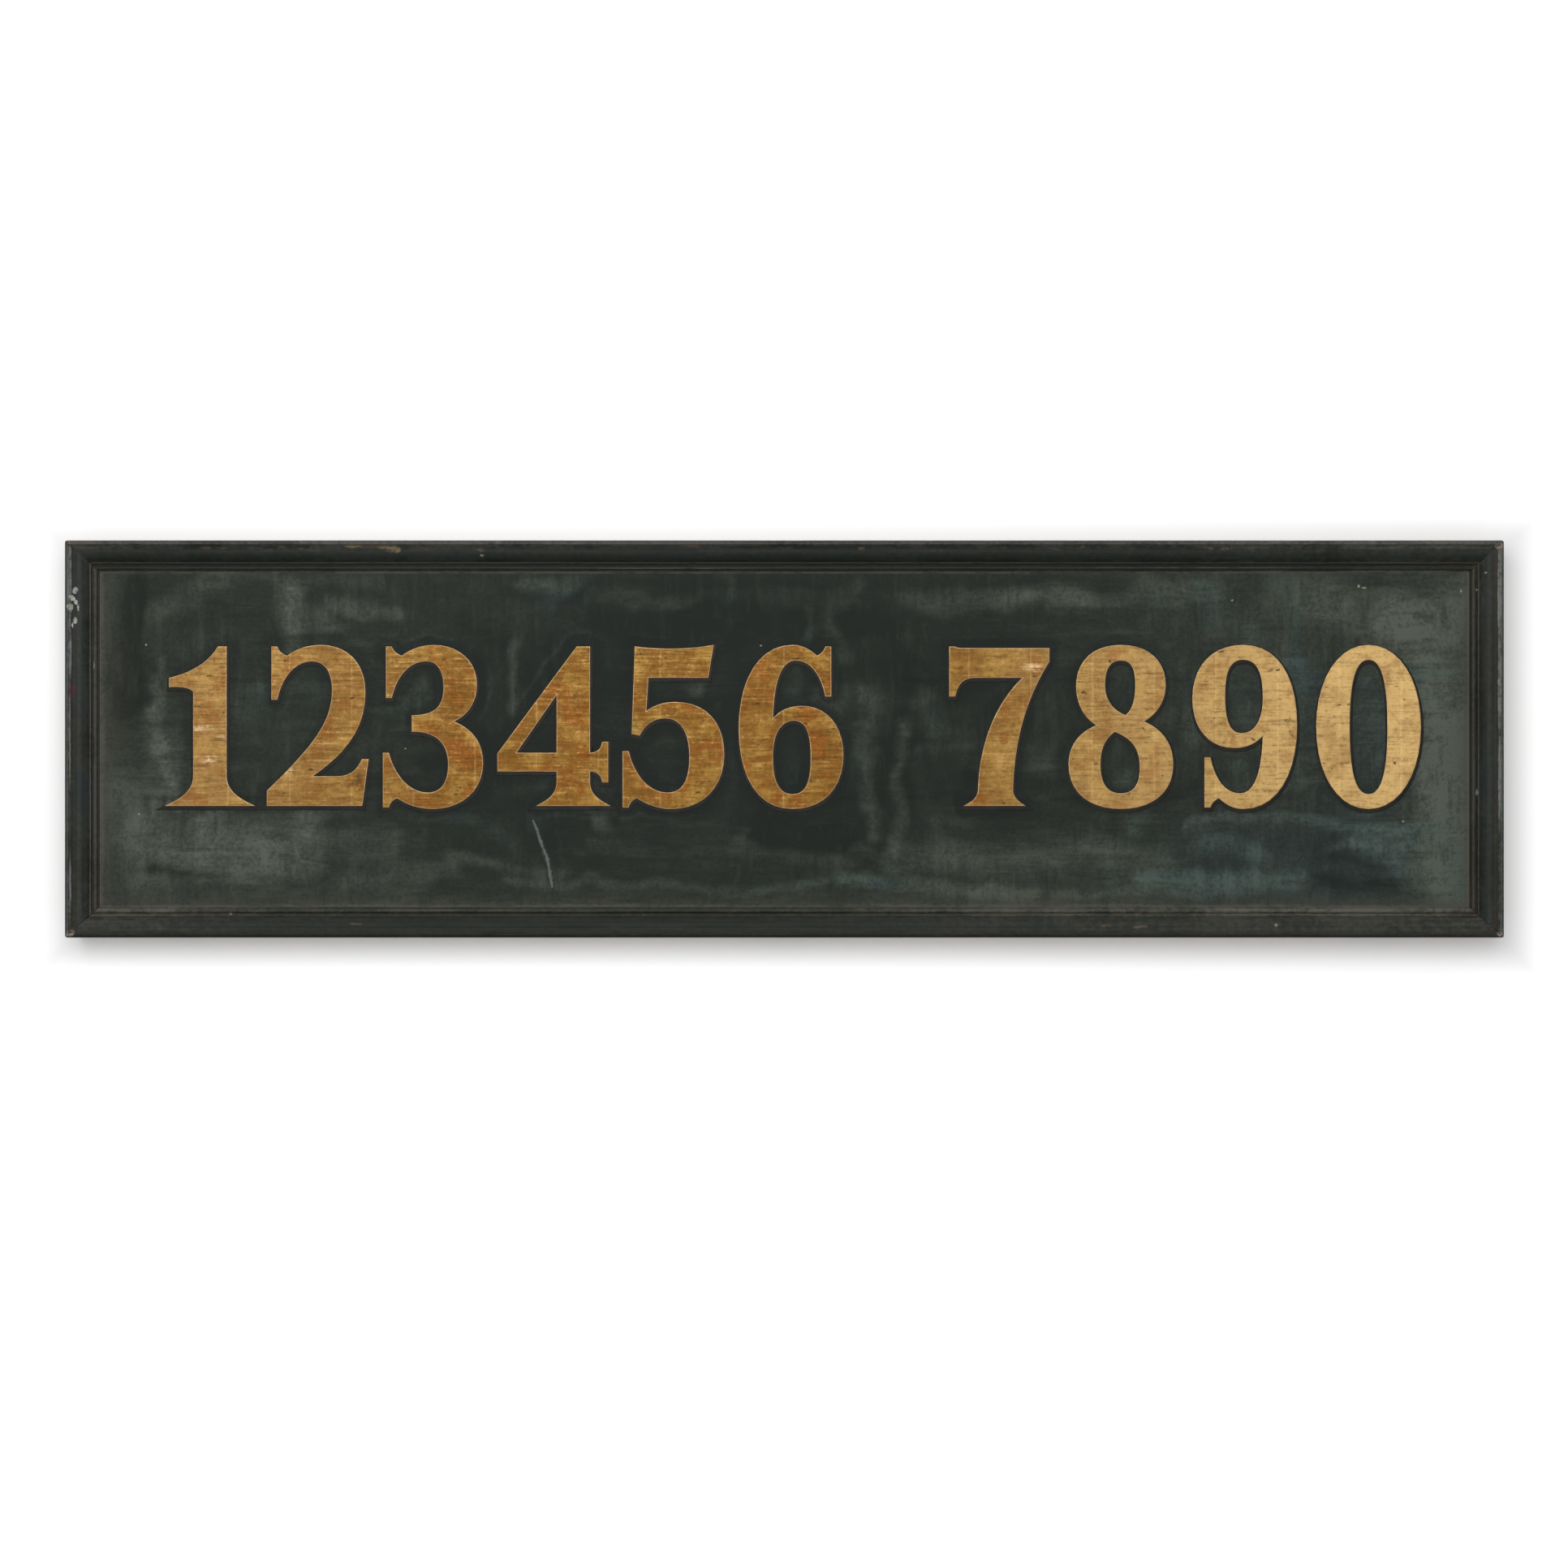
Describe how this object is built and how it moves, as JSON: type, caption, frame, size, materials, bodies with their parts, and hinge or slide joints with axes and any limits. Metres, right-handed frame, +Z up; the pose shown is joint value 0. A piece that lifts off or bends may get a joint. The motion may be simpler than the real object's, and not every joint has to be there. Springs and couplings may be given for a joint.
{
  "type": "wooden sign",
  "caption": "Long painted wooden wall sign: a boarded panel in a mitred, moulded frame, with gilded numerals, back battens and keyhole hangers.",
  "frame": {"origin": "centre of the wall plane, on the middle batten's back face", "axes": "+X along the sign to the viewer's right, +Y back to the wall (the painted front faces -Y), +Z up"},
  "size_m": [1.829, 0.057, 0.505],
  "materials": {
    "frame_paint": "old dark green-black oil paint, worn at the edges, satin",
    "panel_paint": "old dark green oil paint with a chalky bloom, satin",
    "batten_wood": "bare aged pine",
    "screw_steel": "dull steel",
    "nail_iron": "dark, painted over",
    "hanger_steel": "dull steel with light rust"
  },
  "bodies": {
    "root": {"rail_top": "frame_paint", "rail_bottom": "frame_paint", "stile_left": "frame_paint", "stile_right": "frame_paint", "board_top": "panel_paint", "board_middle": "panel_paint", "board_bottom": "panel_paint", "batten_left": "batten_wood", "batten_middle": "batten_wood", "batten_right": "batten_wood", "batten_screws": "screw_steel", "corner_nails": "nail_iron", "keyhole_hanger_left": "hanger_steel", "keyhole_hanger_right": "hanger_steel", "hanger_screws": "screw_steel"}
  },
  "joints": []
}
